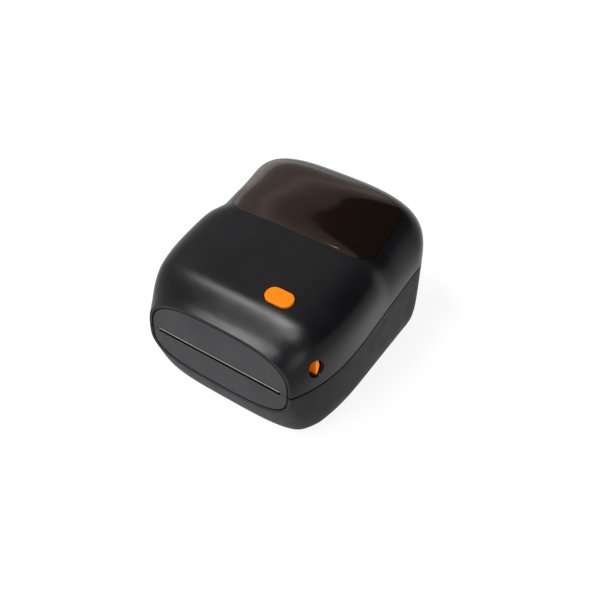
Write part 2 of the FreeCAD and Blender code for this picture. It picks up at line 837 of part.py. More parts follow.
def gap_sensor():
    deck = parting_z(sensor_y - sensor_half_y) - deck_drop
    case = box(sensor_x - sensor_half_x, sensor_x + sensor_half_x, sensor_y - sensor_half_y,
               sensor_y + sensor_half_y, deck - sensor_high, deck - 0.3)
    return case.cut(cyl_z(deck - 2, deck + 1, sensor_x, sensor_y, 1.6))


def platen_shaft():
    return cyl_x(gear_plane_b - 0.6, bracket_x + shaft_over, platen_y, platen_z, shaft_radius)


def platen_rubber():
    tube = cyl_x(-platen_half, platen_half, platen_y, platen_z, platen_radius)
    return tube.cut(cyl_x(-platen_half - 1, platen_half + 1, platen_y, platen_z, shaft_radius))


def platen_gear():
    gear = gear_x(platen_teeth, 0.0, platen_y, platen_z, gear_plane_b, gear_plane_b + gear_width)
    return gear.cut(cyl_x(-far, 0, platen_y, platen_z, shaft_radius))


def gear_phases():
    small = mesh_phase(platen_teeth, 0.0, small_teeth, idler_angle)
    return small, mesh_phase(big_teeth, small, pinion_teeth, motor_angle)


def idler_gear():
    small, pinion = gear_phases()
    big = gear_x(big_teeth, small, idler_y, idler_z, gear_plane_a, gear_plane_a + gear_width)
    little = gear_x(small_teeth, small, idler_y, idler_z, gear_plane_b, gear_plane_a)
    return union([big, little]).cut(cyl_x(-far, 0, idler_y, idler_z, pin_radius + pin_fit))


def motor_pinion():
    small, phase = gear_phases()
    gear = gear_x(pinion_teeth, phase, motor_y, motor_z, gear_plane_a + 0.2, gear_plane_a + gear_width)
    return gear.cut(cyl_x(-far, 0, motor_y, motor_z, motor_shaft_radius))


def motor_shaft():
    return cyl_x(gear_plane_a + 0.2, -bracket_x - 0.4, motor_y, motor_z, motor_shaft_radius)


def platen_bush():
    x0 = bracket_x - bush_collar
    x1 = bracket_x + bracket_sheet + bush_collar
    ring = cyl_x(x0, x1, platen_y, platen_z, bush_radius)
    return ring.cut(cyl_x(0, far, platen_y, platen_z, shaft_radius + pin_fit))


def bracket(rear, shoulder):
    # Right-hand steel side plate with a foot turned inwards
    low = floor_z + bracket_lift
    top = slot_z - 4.4
    outline = [(bracket_foot, low), (rear, low), (rear, top - 5.6)] + shoulder
    outline += [(platen_y + 7, top), (platen_y - 7, top), (bracket_front, top - 3.6)]
    outline += [(bracket_front, slot_z - 24), (bracket_foot - 4, floor_z + 6)]
    sheet = plate_x(outline, bracket_x, bracket_x + bracket_sheet)
    flange = box(bracket_x - bracket_flange, bracket_x + 0.1, bracket_foot, rear, low, low + bracket_sheet)
    return union([sheet, flange]).cut(cyl_x(0, far, platen_y, platen_z, bush_radius))


def drive_bracket():
    rear = motor_y + motor_radius + 2
    part = flip(bracket(rear, [(rear - 7.5, slot_z - 4), (platen_y + 10, slot_z - 4)]))
    return part.cut([cyl_x(-far, 0, idler_y, idler_z, pin_radius),
                     cyl_x(-far, 0, motor_y, motor_z, motor_boss + 0.2)])


def side_bracket():
    return bracket(bracket_foot + 8, [])


def idler_stud():
    return cyl_x(gear_plane_b - 0.8, -bracket_x, idler_y, idler_z, pin_radius)


def step_motor():
    x0 = -bracket_x
    can = cyl_x(x0 + 0.05, x0 + motor_length, motor_y, motor_z, motor_radius)
    can = can.makeFillet(motor_round, [e for e in can.Edges if e.CenterOfMass.x > x0 + motor_length - 0.5])
    boss = cyl_x(x0 - bracket_sheet, x0 + 1, motor_y, motor_z, motor_boss)
    part = union([can, boss])
    return part.cut(cyl_x(x0 - 10, x0 + 6, motor_y, motor_z, motor_shaft_radius + hinge_gap))


def board(outline, holes):
    x0, x1, y0, y1 = outline
    sheet = box(x0, x1, y0, y1, board_z, board_top)
    return sheet.cut([cyl_z(0, board_top + 1, x, y, board_hole) for x, y in holes])


def board_chips():
    out = []
    for x, y, length, width, rise in chips:
        out.append(box(x - length / 2, x + length / 2, y - width / 2, y + width / 2,
                       board_top, board_top + rise))
    return out


def board_caps():
    return [cyl_z(board_top, board_top + rise, x, y, r) for x, y, r, rise in caps]


def board_screws():
    out = []
    for x, y in board_holes + io_holes:
        head = cyl_z(board_top, board_top + 1.8, x, y, board_screw_head)
        out.append(union([head, cyl_z(floor_z + 0.4, board_top + 0.5, x, y, screw_shank - 0.05)]))
    return out


def usb_socket():
    z = board_top
    case = box(usb_x - usb_half, usb_x + usb_half, port_y - 16.5, port_y, z, z + port_high)
    well = box(usb_x - 4.2, usb_x + 4.2, port_y - 8.5, port_y + 1, z + 1.6, z + 9.4)
    tongue = box(usb_x - 2.8, usb_x + 2.8, port_y - 9.5, port_y - 1.5, z + 3.9, z + 7.1)
    return union([case.cut(well), tongue])


def dc_socket():
    z = board_top
    mid = z + 5.6
    case = box(dc_x - dc_half, dc_x + dc_half, port_y - 15.5, port_y, z, z + port_high)
    case = case.cut(cyl_y(port_y - 9.5, port_y + 1, dc_x, mid, 3.1))
    return union([case, cyl_y(port_y - 10.5, port_y - 1, dc_x, mid, 1.0)])


def switch_case():
    low = board_top + 0.1
    top = board_top + switch_high
    case = box(switch_x - switch_half, switch_x + switch_half, port_y - 16.5, port_y + 0.6, low, top)
    half = switch_half - switch_wall
    well = box(switch_x - half, switch_x + half, port_y - 11, port_y + 2,
               low + switch_wall, top - switch_wall)
    pins = cyl_x(switch_x - half - 1.1, switch_x + half + 1.1, rocker_y, rocker_z, rocker_pin + pin_fit)
    return case.cut([well, pins])


def power_rocker():
    form = plate_x(shifted(rocker_form, rocker_y, rocker_z), switch_x - rocker_half, switch_x + rocker_half)
    lips = [e for e in form.Edges if e.CenterOfMass.y > rocker_y + 5]
    edges = [e for e in lips if abs(e.CenterOfMass.x - switch_x) < 0.1]
    form = form.makeFillet(0.8, edges)
    end = switch_half - switch_wall + 1.0
    form = union([form, cyl_x(switch_x - end, switch_x + end, rocker_y, rocker_z, rocker_pin)])
    form.rotate(V(0, rocker_y, rocker_z), V(1, 0, 0), rocker_turn)
    return form


def rack():
    y0 = roll_y + rack_radius
    step = math.pi * rack_module
    half = step / 4 - rack_backlash / 2
    slant = math.tan(pressure_angle)
    tip = 0.9 * rack_module
    root = 1.25 * rack_module
    end = holder_x + holder_sheet
    points = []
    for k in range(rack_start, int(end / step)):
        x = k * step
        points += [(x - half - root * slant, y0 + root), (x - half + tip * slant, y0 - tip)]
        points += [(x + half - tip * slant, y0 - tip), (x + half + root * slant, y0 + root)]
    start = rack_start * step - 2.5
    back = y0 + root + rack_bar
    points += [(end, y0 + root), (end, back), (start, back), (start, y0 + root)]
    return plate_z(points, rack_low, rack_high)


def holder():
    # Right-hand roll holder with its rack, inner face at holder_x
    x0 = holder_x
    x1 = holder_x + holder_sheet
    foot = roll_z - bay_radius - 5
    sides = plate_x([(roll_y - holder_foot, foot), (roll_y + holder_foot, foot),
                     (roll_y + holder_top - 0.5, roll_z), (roll_y - holder_top + 0.5, roll_z)], x0, x1)
    sides = union([sides, cyl_x(x0, x1, roll_y, roll_z, holder_top)])
    sides = sides.common(cyl_x(x0 - 1, x1 + 1, roll_y, roll_z, bay_radius - holder_gap))
    hub = cyl_x(x0 - hub_length, x0 + 0.5, roll_y, roll_z, hub_radius)
    hub = hub.makeChamfer(hub_chamfer, [e for e in hub.Edges if e.CenterOfMass.x < x0 - hub_length + 0.5])
    hub = hub.cut(cyl_x(x0 - hub_length - 1, x0 - 2, roll_y, roll_z, hub_radius - hub_wall))
    y0 = roll_y + rack_radius + slide_gap + 0.3
    neck = box(x0, x1, y0, y0 + rack_bar, rack_low, roll_z - bay_radius + 6)
    return union([sides, hub, neck, rack()])


def turned(shape, y):
    # Half a turn about the upright line through the middle at that depth
    shape = shape.copy()
    shape.rotate(V(0, y, 0), V(0, 0, 1), 180)
    return shape


def guide_pinion():
    phase = math.radians(90 + 180 / rack_teeth)
    points = gear_points(rack_teeth, rack_module, rack_backlash, phase)
    gear = plate_z(shifted(points, 0, roll_y), rack_low, rack_high)
    return gear.cut(cyl_z(0, high, 0, roll_y, rack_post + pin_fit))


def head_heatsink():
    block = box(-head_half, head_half, platen_y - head_front, platen_y + head_rear, block_z, carrier_z)
    cuts = []
    for k in range(4):
        y = platen_y - head_front + 3 + k * fin_pitch
        cuts.append(box(-far, far, y, y + fin_slot, carrier_z - fin_depth, carrier_z + 1))
    return block.cut(cuts)


def head_ceramic():
    return box(-head_half, head_half, platen_y - 8, platen_y + 6, strip_z, block_z)


def head_carrier():
    half = head_half + 2
    rear = platen_y + head_rear + 2
    plate = box(-half, half, platen_y - head_front, rear, carrier_z, carrier_z + carrier_sheet)
    y = head_pivot_y
    z = head_pivot_z
    side = [(platen_y - 4, carrier_z), (rear, carrier_z), (y + 3, z - 3), (y, z + 4), (y - 5, z + 3)]
    ears = both(plate_x(side, half - 0.2, half + carrier_ear - 0.2))
    ears += both(cyl_x(half - 0.2, half + carrier_ear - 0.2, y, z, head_ear))
    return union([plate] + ears).cut(cyl_x(-far, far, y, z, pin_radius + pin_fit))


def head_rod():
    end = rib_in + rib_sheet
    return cyl_x(-end, end, head_pivot_y, head_pivot_z, pin_radius)


def head_springs():
    low = carrier_z + carrier_sheet + spring_gap
    spring = coil(spring_radius, spring_wire, spring_turns, beam_low - spring_gap - low)
    out = []
    for x in (-spring_x, spring_x):
        piece = spring.copy()
        piece.translate(V(x, platen_y, low))
        out.append(piece)
    return out


def hinge_pins():
    return both(cyl_x(lug_x - pin_length / 2, lug_x + pin_length / 2, hinge_y, hinge_z, pin_radius))


def long_screws():
    out = []
    for x, y in frame_screws:
        head = cyl_z(foot_height + 0.15, foot_height + 1.15, x, y, screw_head)
        out.append(union([head, cyl_z(foot_height + 0.8, floor_z + 9, x, y, screw_shank)]))
    return out


def lid_screws():
    out = []
    for x, y in tray_screws():
        top = tray_deck(y)
        head = cyl_z(top - 2.3, top - 1.05, x, y, screw_head)
        out.append(union([head, cyl_z(top - 1.5, top + 8, x, y, screw_shank)]))
    return out


save("base_shell", base_shell())
save("rubber_feet", rubber_feet())
frame = inner_frame()
save("print_frame", frame_piece(-far, guide_front, far))
save("paper_guide", frame_piece(guide_front, guide_rear, latch_in - latch_slot))
save("roll_frame", frame_piece(guide_rear, far, far))
save("lower_panel", panel(False))
save("drive_bracket", drive_bracket())
save("side_bracket", side_bracket())
save("platen_bush_right", platen_bush())
save("platen_bush_left", flip(platen_bush()))
save("step_motor", step_motor())
save("idler_stud", idler_stud())
save("main_board", board(board_box, board_holes))
save("board_chips", board_chips())
save("board_caps", board_caps())
save("io_board", board(io_box, io_holes))
save("board_screws", board_screws())
save("usb_socket", usb_socket())
save("dc_socket", dc_socket())
save("switch_case", switch_case())
save("gap_sensor", gap_sensor())
save("hinge_pins", hinge_pins())
save("frame_screws", long_screws())
save("power_rocker", power_rocker())
save("platen_shaft", platen_shaft())
save("platen_rubber", platen_rubber())
save("platen_gear", platen_gear())
save("idler_gear", idler_gear())
save("motor_pinion", motor_pinion())
save("motor_shaft", motor_shaft())
save("holder_right", holder())
save("holder_left", turned(holder(), roll_y))
save("guide_pinion", guide_pinion())
save("lid_shell", lid_shell())
save("lid_tray", lid_tray())
save("lid_window", lid_window())
save("upper_panel", panel(True))
save("tear_bar", tear_bar())
save("feed_button", feed_button())
save("button_board", button_board())
save("button_switch", button_switch())
lever = latch_lever()
save("latch_right", lever)
save("latch_left", flip(lever))
save("latch_pins", both(latch_pin()))
spring = latch_spring()
save("latch_spring_right", spring)
save("latch_spring_left", turned(spring, latch_pivot_y))
save("head_carrier", head_carrier())
save("head_heatsink", head_heatsink())
save("head_ceramic", head_ceramic())
save("head_rod", head_rod())
save("head_springs", head_springs())
save("lid_screws", lid_screws())
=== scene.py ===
import json
import math

import bpy
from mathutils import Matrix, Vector

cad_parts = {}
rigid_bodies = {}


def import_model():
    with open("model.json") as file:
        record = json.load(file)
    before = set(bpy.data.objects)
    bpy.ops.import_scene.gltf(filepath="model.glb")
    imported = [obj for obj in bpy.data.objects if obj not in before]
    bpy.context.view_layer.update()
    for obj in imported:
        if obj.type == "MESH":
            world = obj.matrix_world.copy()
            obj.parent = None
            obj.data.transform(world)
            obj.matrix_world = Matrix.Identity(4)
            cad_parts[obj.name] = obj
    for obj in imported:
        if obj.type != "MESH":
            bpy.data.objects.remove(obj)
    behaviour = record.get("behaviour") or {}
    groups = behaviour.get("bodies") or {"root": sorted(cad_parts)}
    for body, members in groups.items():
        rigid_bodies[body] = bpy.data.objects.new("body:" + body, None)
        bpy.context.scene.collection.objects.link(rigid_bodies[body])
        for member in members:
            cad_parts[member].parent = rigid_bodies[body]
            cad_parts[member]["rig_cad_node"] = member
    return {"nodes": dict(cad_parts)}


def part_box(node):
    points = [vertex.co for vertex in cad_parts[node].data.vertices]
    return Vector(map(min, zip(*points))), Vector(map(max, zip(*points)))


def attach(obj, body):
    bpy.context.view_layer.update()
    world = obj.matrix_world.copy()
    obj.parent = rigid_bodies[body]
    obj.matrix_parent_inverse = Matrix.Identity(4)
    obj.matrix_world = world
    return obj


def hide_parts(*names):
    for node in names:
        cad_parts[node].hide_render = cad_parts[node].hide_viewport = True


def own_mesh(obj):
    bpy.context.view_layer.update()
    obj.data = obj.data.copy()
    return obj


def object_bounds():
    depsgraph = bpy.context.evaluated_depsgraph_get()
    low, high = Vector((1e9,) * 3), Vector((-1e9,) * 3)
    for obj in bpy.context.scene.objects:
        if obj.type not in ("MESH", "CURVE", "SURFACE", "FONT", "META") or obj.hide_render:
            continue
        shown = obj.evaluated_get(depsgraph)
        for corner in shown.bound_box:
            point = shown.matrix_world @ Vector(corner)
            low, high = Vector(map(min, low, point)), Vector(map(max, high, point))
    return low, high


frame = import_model()
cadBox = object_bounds()
nodes = frame["nodes"]
mm = 0.001
print("frame loaded:", len(nodes), "nodes")


def linearInk(hexText):  # sRGB hex to the linear colour that sockets take
    out = []
    for k in (0, 2, 4):
        c = int(hexText[k:k + 2], 16) / 255
        out.append(c / 12.92 if c <= 0.04045 else ((c + 0.055) / 1.055) ** 2.4)
    return (out[0], out[1], out[2], 1.0)


def addNode(tree, kind, links=None, **settings):  # one node, its settings and what feeds its sockets
    node = tree.nodes.new(kind)
    for name, value in settings.items():
        setattr(node, name, value)
    for socket, value in (links or {}).items():
        if isinstance(value, bpy.types.Node):
            value = value.outputs[0]
        if isinstance(value, bpy.types.NodeSocket):
            tree.links.new(value, node.inputs[socket])
        else:
            node.inputs[socket].default_value = value
    return node


def startMaterial(name):
    mat = bpy.data.materials.new(name)
    mat.use_nodes = True
    tree = mat.node_tree
    tree.nodes.clear()
    return mat, tree


def finishMaterial(mat, shader, *names):  # close the material and put it on these CAD nodes
    addNode(mat.node_tree, "ShaderNodeOutputMaterial", {"Surface": shader})
    for name in names:
        mesh = nodes[name].data
        mesh.materials.clear()
        mesh.materials.append(mat)


def perMetre(sizeMm):  # texture scale for a pattern of that size
    return 1000.0 / sizeMm


# Moulded plastics: spark-eroded mould grain of about 0.3 mm, drawn at 0.5 to 1.2 mm so that it shows.
# Colour drifts over 38 mm and gloss over 14 mm, as moulding and handling leave them; the near-black, fully
# rough groove colour is painted shade.
mouldFinish = {"cloud": 38, "cloudSpan": (0.35, 0.65), "handled": 14, "handledSpan": (0.3, 0.7), "depth": 0.1,
               "ior": 1.5, "gapShade": "030303", "gapShadeRough": 1.0}
mouldedPlastics = {
    "lidAbs": {"dark": "0a0a0c", "light": "0f0f11", "rough": (0.28, 0.34), "specular": 0.19, "grain": 0.9,
               "bump": 0.05, "edges": ["seam", "well"],
               "nodes": ["lid_shell"]},  # satin charcoal, soft wide highlights
    "baseAbs": {"dark": "282728", "light": "2e2d2f", "rough": (0.44, 0.54), "specular": 0.06, "grain": 0.9,
                "bump": 0.06, "edges": ["seam"], "nodes": ["base_shell"]},  # the same resin, a little greyer
    "bezelAbs": {"dark": "2e2d2f", "light": "333235", "rough": (0.52, 0.62), "specular": 0.2, "grain": 0.8,
                 "bump": 0.09, "edges": ["rim"],
                 "nodes": ["upper_panel", "lower_panel"]},  # flat grey, finely grained
    "frameAbs": {"dark": "121212", "light": "1a1a1a", "rough": (0.50, 0.64), "specular": 0.35, "grain": 1.0,
                 "bump": 0.10, "nodes": ["print_frame", "paper_guide", "roll_frame", "lid_tray", "holder_right",
                                         "holder_left", "switch_case", "dc_socket"]},  # unpolished black, dull
    "orangeAbs": {"dark": "d46900", "light": "de7402", "rough": (0.34, 0.42), "specular": 0.12, "grain": 0.8,
                  "bump": 0.04, "nodes": ["feed_button", "latch_right", "latch_left"]},  # bright satin orange
    "blackAcetal": {"dark": "161617", "light": "1d1d1e", "rough": (0.30, 0.38), "specular": 0.45, "grain": 0.7,
                    "bump": 0.03, "nodes": ["platen_bush_left", "platen_bush_right", "power_rocker",
                                            "button_switch", "gap_sensor"]},  # waxy sheen, nearly smooth
    "whiteAcetal": {"dark": "d8d4c4", "light": "e4e1d3", "rough": (0.36, 0.46), "specular": 0.45, "grain": 1.2,
                    "bump": 0.03, "nodes": ["platen_gear", "idler_gear", "motor_pinion",
                                            "guide_pinion"]},  # milky and waxy
    "chipEpoxy": {"dark": "151516", "light": "222223", "rough": (0.55, 0.7), "specular": 0.35, "grain": 0.5,
                  "bump": 0.10, "nodes": ["board_chips"]},  # moulding compound, dusty matte
}

# Thin grooves of the CAD get painted shade: dark in the groove, clear a little away from it
seamLine = {"front": -96.5, "rear": 99.0, "low": 55.5, "high": 78.5,  # lid to base, mm
            "dark": 0.8, "clear": 1.1}
buttonWell = {"dark": 0.9, "clear": 1.3}  # mm outside the feed button
panelRim = {"slot": 55.5, "half": 68.0, "tall": (27.0, 32.97), "power": (3.1, 2.9),  # mm; lower, upper panel
            "dark": 0.987, "clear": 0.978}  # shares of the panel's outline
buttonLow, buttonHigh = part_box("feed_button")
buttonMid = (buttonLow + buttonHigh) / 2
buttonRound = (buttonHigh.y - buttonLow.y) / 2
buttonStraight = (buttonHigh.x - buttonLow.x) / 2 - buttonRound
slotZ = panelRim["slot"] * mm
tallLow, tallUp = [v * mm for v in panelRim["tall"]]
powerLow, powerUp = panelRim["power"]
gapShadeSpan = {
    "seam": (seamLine["dark"] * mm, seamLine["clear"] * mm),
    "well": (buttonRound + buttonWell["dark"] * mm, buttonRound + buttonWell["clear"] * mm),
    "rim": (panelRim["dark"], panelRim["clear"]),
}
gapShadeSteps = {  # how far a point is from each edge: result, operation, and what goes in
    "seam": [("away", "SUBTRACT", "z", "line"), ("away", "ABSOLUTE", "away", 0.0)],
    "well": [("along", "SUBTRACT", "x", buttonMid.x), ("along", "ABSOLUTE", "along", 0.0),
             ("along", "SUBTRACT", "along", buttonStraight), ("along", "MAXIMUM", "along", 0.0),
             ("along", "MULTIPLY", "along", "along"),
             ("across", "SUBTRACT", "y", buttonMid.y), ("across", "MULTIPLY", "across", "across"),
             ("away", "ADD", "along", "across"), ("away", "SQRT", "away", 0.0)],
    "rim": [("top", "GREATER_THAN", "z", slotZ),
            ("tall", "MULTIPLY", "top", tallUp - tallLow), ("tall", "ADD", "tall", tallLow),
            ("power", "MULTIPLY", "top", powerUp - powerLow), ("power", "ADD", "power", powerLow),
            ("along", "ABSOLUTE", "x", 0.0), ("along", "DIVIDE", "along", panelRim["half"] * mm),
            ("along", "POWER", "along", "power"),
            ("across", "SUBTRACT", "z", slotZ), ("across", "ABSOLUTE", "across", 0.0),
            ("across", "DIVIDE", "across", "tall"), ("across", "POWER", "across", "power"),
            ("away", "ADD", "along", "across"), ("root", "DIVIDE", 1.0, "power"),
            ("away", "POWER", "away", "root")],
}
for name, look in mouldedPlastics.items():
    mat, tree = startMaterial(name)
    place = addNode(tree, "ShaderNodeTexCoord").outputs["Object"]
    cloud = addNode(tree, "ShaderNodeTexNoise", {"Vector": place, "Scale": perMetre(mouldFinish["cloud"]),
                                                 "Detail": 3.0})
    tint = addNode(tree, "ShaderNodeValToRGB", {"Fac": cloud})
    for stop, at, ink in zip(tint.color_ramp.elements, mouldFinish["cloudSpan"], (look["dark"], look["light"])):
        stop.position, stop.color = at, linearInk(ink)
    handled = addNode(tree, "ShaderNodeTexNoise", {"Vector": place, "Scale": perMetre(mouldFinish["handled"]),
                                                   "Detail": 4.0})
    dullLow, dullHigh = mouldFinish["handledSpan"]
    rough = addNode(tree, "ShaderNodeMapRange", {"Value": handled, "From Min": dullLow, "From Max": dullHigh,
                                                 "To Min": look["rough"][0], "To Max": look["rough"][1]})
    grain = addNode(tree, "ShaderNodeTexNoise", {"Vector": place, "Scale": perMetre(look["grain"]),
                                                 "Detail": 2.0})
    relief = addNode(tree, "ShaderNodeBump", {"Height": grain, "Strength": look["bump"],
                                              "Distance": mouldFinish["depth"] * mm})
    colour, sheen = tint.outputs[0], rough.outputs[0]
    # painted shade: near-black, fully rough colour along the seam, round the feed button and round the panel
    # rim, standing in for shadow in the gaps
    for edge in look.get("edges", []):
        part = dict(zip("xyz", addNode(tree, "ShaderNodeSeparateXYZ", {"Vector": place}).outputs))
        if edge == "seam":  # the parting line rises from front to rear
            part["line"] = addNode(tree, "ShaderNodeMapRange", {
                "Value": part["y"], "From Min": seamLine["front"] * mm, "From Max": seamLine["rear"] * mm,
                "To Min": seamLine["low"] * mm, "To Max": seamLine["high"] * mm},
                interpolation_type="SMOOTHSTEP")
        for result, operation, a, b in gapShadeSteps[edge]:
            part[result] = addNode(tree, "ShaderNodeMath", {0: part.get(a, a), 1: part.get(b, b)},
                                   operation=operation)
        clear = addNode(tree, "ShaderNodeMapRange", {"Value": part["away"], "From Min": gapShadeSpan[edge][0],
                                                     "From Max": gapShadeSpan[edge][1]})
        colour = addNode(tree, "ShaderNodeMix", {"Factor": clear, 6: linearInk(mouldFinish["gapShade"]), 7: colour},
                         data_type="RGBA").outputs[2]
        sheen = addNode(tree, "ShaderNodeMapRange", {"Value": clear, "To Min": mouldFinish["gapShadeRough"],
                                                     "To Max": sheen}).outputs[0]
    shader = addNode(tree, "ShaderNodeBsdfPrincipled", {
        "Base Color": colour, "Roughness": sheen, "Normal": relief, "IOR": mouldFinish["ior"],
        "Specular IOR Level": look["specular"]})
    finishMaterial(mat, shader, *look["nodes"])
print("moulded plastics:", len(mouldedPlastics))

# Smoked polycarbonate, moulded against a polished tool: clear, brown and glossy with faint flow marks.
# Its glint is warm, because part of it comes back from the inner face through the smoke.
windowLook = {"smoke": "34241b", "glint": "ffe0d4", "clear": 0.86, "rough": 0.08, "ior": 1.58, "flow": 26,
              "bump": 0.02, "depth": 0.5}
mat, tree = startMaterial("smokedPolycarbonate")
place = addNode(tree, "ShaderNodeTexCoord").outputs["Object"]
flow = addNode(tree, "ShaderNodeTexNoise", {"Vector": place, "Scale": perMetre(windowLook["flow"]),
                                            "Detail": 1.0})
relief = addNode(tree, "ShaderNodeBump", {"Height": flow, "Strength": windowLook["bump"],
                                          "Distance": windowLook["depth"] * mm})
shader = addNode(tree, "ShaderNodeBsdfPrincipled", {
    "Base Color": linearInk(windowLook["smoke"]), "Roughness": windowLook["rough"], "IOR": windowLook["ior"],
    "Transmission Weight": windowLook["clear"], "Specular Tint": linearInk(windowLook["glint"]),
    "Normal": relief})
finishMaterial(mat, shader, "lid_window")
print("window smoked")

# Metals: each with the direction its making leaves, drawn as stretched noise with marks of a real size in mm
metalFinish = {"span": (0.3, 0.7), "bump": 0.04, "depth": 0.1}
metals = {
    "zincSteel": {"dark": "9c9da0", "light": "c4c5c8", "rough": (0.28, 0.42), "stretch": (1.0, 1.0, 1.0),
                  "mark": 6.0, "nodes": ["drive_bracket", "side_bracket", "head_carrier", "step_motor",
                                         "usb_socket"]},  # spangled sheet
    "groundSteel": {"dark": "b4b4b6", "light": "d2d2d4", "rough": (0.16, 0.26), "stretch": (30.0, 1.0, 1.0),
                    "mark": 9.0, "nodes": ["platen_shaft", "motor_shaft", "idler_stud", "hinge_pins",
                                           "latch_pins", "head_rod"]},  # bright, with rings from grinding
    "bladeSteel": {"dark": "8f8176", "light": "b5a69a", "rough": (0.22, 0.32), "stretch": (1.0, 12.0, 12.0),
                   "mark": 8.0, "nodes": ["tear_bar"]},  # warm bright edge
    "springSteel": {"dark": "8d8f93", "light": "b2b4b8", "rough": (0.25, 0.35), "stretch": (1.0, 1.0, 1.0),
                    "mark": 2.0, "nodes": ["latch_spring_right", "latch_spring_left", "head_springs",
                                           "board_screws", "frame_screws", "lid_screws"]},  # cool grey, bright
    "extrudedAluminium": {"dark": "b9babb", "light": "d7d8d9", "rough": (0.30, 0.44),
                          "stretch": (1.0, 20.0, 20.0), "mark": 10.0,
                          "nodes": ["head_heatsink"]},  # die lines along its length
}
for name, look in metals.items():
    mat, tree = startMaterial(name)
    place = addNode(tree, "ShaderNodeTexCoord").outputs["Object"]
    drawn = addNode(tree, "ShaderNodeMapping", {"Vector": place, "Scale": look["stretch"]})
    marks = addNode(tree, "ShaderNodeTexNoise", {"Vector": drawn, "Scale": perMetre(look["mark"]),
                                                 "Detail": 5.0})
    tint = addNode(tree, "ShaderNodeValToRGB", {"Fac": marks})
    for stop, at, ink in zip(tint.color_ramp.elements, metalFinish["span"], (look["dark"], look["light"])):
        stop.position, stop.color = at, linearInk(ink)
    markLow, markHigh = metalFinish["span"]
    rough = addNode(tree, "ShaderNodeMapRange", {"Value": marks, "From Min": markLow, "From Max": markHigh,
                                                 "To Min": look["rough"][1], "To Max": look["rough"][0]})
    relief = addNode(tree, "ShaderNodeBump", {"Height": marks, "Strength": metalFinish["bump"],
                                              "Distance": metalFinish["depth"] * mm})
    shader = addNode(tree, "ShaderNodeBsdfPrincipled", {
        "Base Color": tint, "Roughness": rough, "Metallic": 1.0, "Normal": relief})
    finishMaterial(mat, shader, *look["nodes"])
print("metals:", len(metals))

# Rubbers: ground or moulded, matte, with a dry speckle in mm
rubberFinish = {"span": (0.4, 0.62), "bump": 0.2, "depth": 0.1, "specular": 0.3}
rubbers = {
    "footRubber": {"dark": "101010", "light": "1c1c1c", "rough": (0.80, 0.92), "speck": 0.8,
                   "nodes": ["rubber_feet"]},  # black, no shine
    "platenRubber": {"dark": "2b2b2d", "light": "363639", "rough": (0.62, 0.74), "speck": 0.7,
                     "nodes": ["platen_rubber"]},  # dark grey, ground true
}
for name, look in rubbers.items():
    mat, tree = startMaterial(name)
    place = addNode(tree, "ShaderNodeTexCoord").outputs["Object"]
    speck = addNode(tree, "ShaderNodeTexNoise", {"Vector": place, "Scale": perMetre(look["speck"]),
                                                 "Detail": 4.0})
    tint = addNode(tree, "ShaderNodeValToRGB", {"Fac": speck})
    for stop, at, ink in zip(tint.color_ramp.elements, rubberFinish["span"], (look["dark"], look["light"])):
        stop.position, stop.color = at, linearInk(ink)
    rough = addNode(tree, "ShaderNodeMapRange", {"Value": speck, "To Min": look["rough"][0],
                                                 "To Max": look["rough"][1]})
    relief = addNode(tree, "ShaderNodeBump", {"Height": speck, "Strength": rubberFinish["bump"],
                                              "Distance": rubberFinish["depth"] * mm})
    shader = addNode(tree, "ShaderNodeBsdfPrincipled", {
        "Base Color": tint, "Roughness": rough, "Normal": relief,
        "Specular IOR Level": rubberFinish["specular"]})
    finishMaterial(mat, shader, *look["nodes"])
print("rubbers:", len(rubbers))

# Glass-epoxy boards: green resist over a weave, with 0.5 mm tracks drawn as a staggered grid
boardLook = {"resist": "0d4a22", "track": "1c6a34", "pitch": 2.6, "run": 4, "width": 0.5, "stagger": 0.37,
             "squash": 1.6, "weave": 0.6, "bump": 0.05, "depth": 0.05, "rough": 0.32}
mat, tree = startMaterial("glassEpoxy")
place = addNode(tree, "ShaderNodeTexCoord").outputs["Object"]
tracks = addNode(tree, "ShaderNodeTexBrick", {
    "Vector": place, "Color1": linearInk(boardLook["resist"]), "Color2": linearInk(boardLook["resist"]),
    "Mortar": linearInk(boardLook["track"]), "Scale": 1.0, "Mortar Size": boardLook["width"] / 2 * mm,
    "Brick Width": boardLook["pitch"] * boardLook["run"] * mm, "Row Height": boardLook["pitch"] * mm},
    offset=boardLook["stagger"], squash=boardLook["squash"])
weave = addNode(tree, "ShaderNodeTexChecker", {"Vector": place, "Scale": perMetre(boardLook["weave"])})
relief = addNode(tree, "ShaderNodeBump", {"Height": weave.outputs[1], "Strength": boardLook["bump"],
                                          "Distance": boardLook["depth"] * mm})
shader = addNode(tree, "ShaderNodeBsdfPrincipled", {
    "Base Color": tracks, "Roughness": boardLook["rough"], "Normal": relief})
finishMaterial(mat, shader, "main_board", "io_board", "button_board")

# Glazed alumina strip: off-white glaze with the dark line of heaters above the platen
ceramicLook = {"glaze": "d9d6cd", "heaters": "3a2c24", "line": 1.2, "fade": (0.4, 0.6), "rough": 0.14,
               "coat": 0.4}
mat, tree = startMaterial("glazedAlumina")
place = addNode(tree, "ShaderNodeTexCoord").outputs["Object"]
platenLow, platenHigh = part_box("platen_rubber")
spread = addNode(tree, "ShaderNodeSeparateXYZ", {"Vector": place})
fromLine = addNode(tree, "ShaderNodeMath", {0: spread.outputs["Y"], 1: (platenLow.y + platenHigh.y) / 2},
                   operation="SUBTRACT")
away = addNode(tree, "ShaderNodeMath", {0: fromLine}, operation="ABSOLUTE")
lineIn, lineOut = [share * ceramicLook["line"] * mm for share in ceramicLook["fade"]]
heater = addNode(tree, "ShaderNodeMapRange", {"Value": away, "From Min": lineIn, "From Max": lineOut})
glaze = addNode(tree, "ShaderNodeMix", {"Factor": heater, 6: linearInk(ceramicLook["heaters"]),
                                        7: linearInk(ceramicLook["glaze"])}, data_type="RGBA")
shader = addNode(tree, "ShaderNodeBsdfPrincipled", {
    "Base Color": glaze.outputs[2], "Roughness": ceramicLook["rough"], "Coat Weight": ceramicLook["coat"]})
